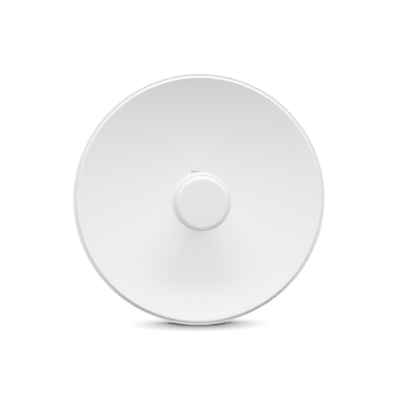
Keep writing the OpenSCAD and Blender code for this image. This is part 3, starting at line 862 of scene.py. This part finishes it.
def floor_material(painted_shadow_centre):
    """White paper to the camera, with a painted shadow where the dish comes close: ambient occlusion and a
    gradient placed where the dish rests darken the emission that the camera sees.

    It throws little light back, except from a patch under the dish, which lights the rim from below."""
    material, shader = start_material("studio_floor", (FLOOR_BOUNCE,) * 3, 0.6, 0.0)
    add, join = node_tools(material)
    # painted shade: ambient occlusion dims the paper's emission near the dish
    near = add("ShaderNodeAmbientOcclusion", Distance=PAINTED_SHADE_REACH, samples=16)
    painted_occlusion_shade = add("ShaderNodeMapRange", interpolation_type="SMOOTHSTEP")
    painted_occlusion_shade.inputs["From Min"].default_value = 0.5
    painted_occlusion_shade.inputs["From Max"].default_value = 1.0
    painted_occlusion_shade.inputs["To Min"].default_value = PAINTED_SHADOW_STRENGTH
    painted_occlusion_shade.inputs["To Max"].default_value = PAPER_WHITE
    place = add("ShaderNodeTexCoord")
    spread = add("ShaderNodeMapping", vector_type="TEXTURE")
    spread.inputs["Scale"].default_value = PAINTED_SHADOW_SIZE
    spread.inputs["Location"].default_value = painted_shadow_centre
    # painted shadow: a spherical gradient at the dish's resting place dims the emission towards its centre
    painted_shadow_gradient = add("ShaderNodeTexGradient", gradient_type="SPHERICAL")
    away = add("ShaderNodeMath", operation="SUBTRACT")
    away.inputs[0].default_value = 1
    growth = add("ShaderNodeMath", operation="POWER")
    growth.inputs[0].default_value = PAPER_WHITE / PAINTED_SHADOW_STRENGTH
    painted_shadow_spot = add("ShaderNodeMath", operation="MULTIPLY")
    painted_shadow_spot.inputs[1].default_value = PAINTED_SHADOW_STRENGTH
    # the darker of the two painted shades sets the paper's emission
    darker = add("ShaderNodeMath", operation="MINIMUM")
    patch = add("ShaderNodeMapRange")
    patch.inputs["To Min"].default_value = FLOOR_BOUNCE
    patch.inputs["To Max"].default_value = PATCH_BOUNCE
    paper = add("ShaderNodeEmission")
    path = add("ShaderNodeLightPath")
    mix = add("ShaderNodeMixShader")
    output = material.node_tree.nodes["Material Output"]
    join(place, "Object", spread, "Vector")
    join(spread, "Vector", painted_shadow_gradient, "Vector")
    join(painted_shadow_gradient, "Fac", patch, "Value")
    join(patch, "Result", shader, "Base Color")
    join(painted_shadow_gradient, "Fac", away, 1)
    join(away, "Value", growth, 1)
    join(growth, "Value", painted_shadow_spot, 0)
    join(painted_shadow_spot, "Value", darker, 0)
    join(near, "AO", painted_occlusion_shade, "Value")
    join(painted_occlusion_shade, "Result", darker, 1)
    join(darker, "Value", paper, "Strength")
    join(path, "Is Camera Ray", mix, "Fac")
    join(shader, "BSDF", mix, 1)
    join(paper, "Emission", mix, 2)
    join(mix, "Shader", output, "Surface")
    return material


def backdrop(fill_strength):
    """A plain soft sky light, which the camera sees as white."""
    world = bpy.data.worlds.new("studio")
    bpy.context.scene.world = world
    world.use_nodes = True
    tree = world.node_tree
    fill = tree.nodes["Background"]
    fill.inputs["Strength"].default_value = fill_strength
    fill.inputs["Color"].default_value = (0.98, 0.99, 1, 1)
    seen = tree.nodes.new("ShaderNodeBackground")
    seen.inputs["Color"].default_value = (1, 1, 1, 1)
    seen.inputs["Strength"].default_value = PAPER_WHITE
    path = tree.nodes.new("ShaderNodeLightPath")
    mix = tree.nodes.new("ShaderNodeMixShader")
    tree.links.new(path.outputs["Is Camera Ray"], mix.inputs["Fac"])
    tree.links.new(fill.outputs["Background"], mix.inputs[1])
    tree.links.new(seen.outputs["Background"], mix.inputs[2])
    tree.links.new(mix.outputs["Shader"], tree.nodes["World Output"].inputs["Surface"])


def softbox(name, aim, elevation, azimuth, distance, size, power):
    """A soft light of (width, height) that looks at aim; azimuth and elevation are seen from there."""
    light = bpy.data.lights.new(name, "AREA")
    light.shape = "RECTANGLE"
    light.size, light.size_y = size
    light.energy = power
    light.color = (0.97, 0.98, 1)
    lamp = bpy.data.objects.new(name, light)
    away = direction(azimuth, elevation)
    lamp.location = Vector(aim) + away * distance
    lamp.rotation_euler = away.to_track_quat("Z", "Y").to_euler()
    bpy.context.scene.collection.objects.link(lamp)


def direction(azimuth, elevation):
    """The unit vector from the dish towards a place in front of it; angles in degrees."""
    a, e = math.radians(azimuth), math.radians(elevation)
    return Vector((math.sin(a) * math.cos(e), -math.cos(a) * math.cos(e), math.sin(e)))


def studio(rim):
    """A pale floor, a soft key light from above, two lights behind, a weak fill and the camera."""
    corners = [(x * FLOOR_SIZE, y * FLOOR_SIZE, cad_low.z) for x, y in ((-1, -1), (1, -1), (1, 1), (-1, 1))]
    mesh = bpy.data.meshes.new("floor")
    mesh.from_pydata(corners, [], [(0, 1, 2, 3)])
    floor = bpy.data.objects.new("floor", mesh)
    bpy.context.scene.collection.objects.link(floor)
    # the floor's painted shadow is centred where the rim rests
    floor.data.materials.append(floor_material((0, RIM_DROP - rim, cad_low.z)))
    backdrop(FILL_LIGHT)
    aim = (0, -rim, 0)
    softbox("key", aim, 60, 0, 2.6, (3.2, 1.2), 700)
    softbox("rear", (0, 0, 0), 40, 165, 3.0, (1.2, 1.2), 170)
    softbox("top", aim, 80, 180, 2.4, (1.6, 0.4), 520)

    camera = bpy.data.objects.new("camera", bpy.data.cameras.new("camera"))
    bpy.context.scene.collection.objects.link(camera)
    away = direction(*CAMERA_WAY)
    camera.location = Vector(aim) + away * CAMERA_DISTANCE
    camera.rotation_euler = away.to_track_quat("Z", "Y").to_euler()
    camera.data.angle = CAMERA_ANGLE
    bpy.context.scene.camera = camera


keep_cad_nodes()
rim_front = dish()
front_cap()
feed_drum()
clamp_hardware()
pivot_hardware()
lock_hardware()
stud_hardware()
coil_spring()
studio(rim_front)
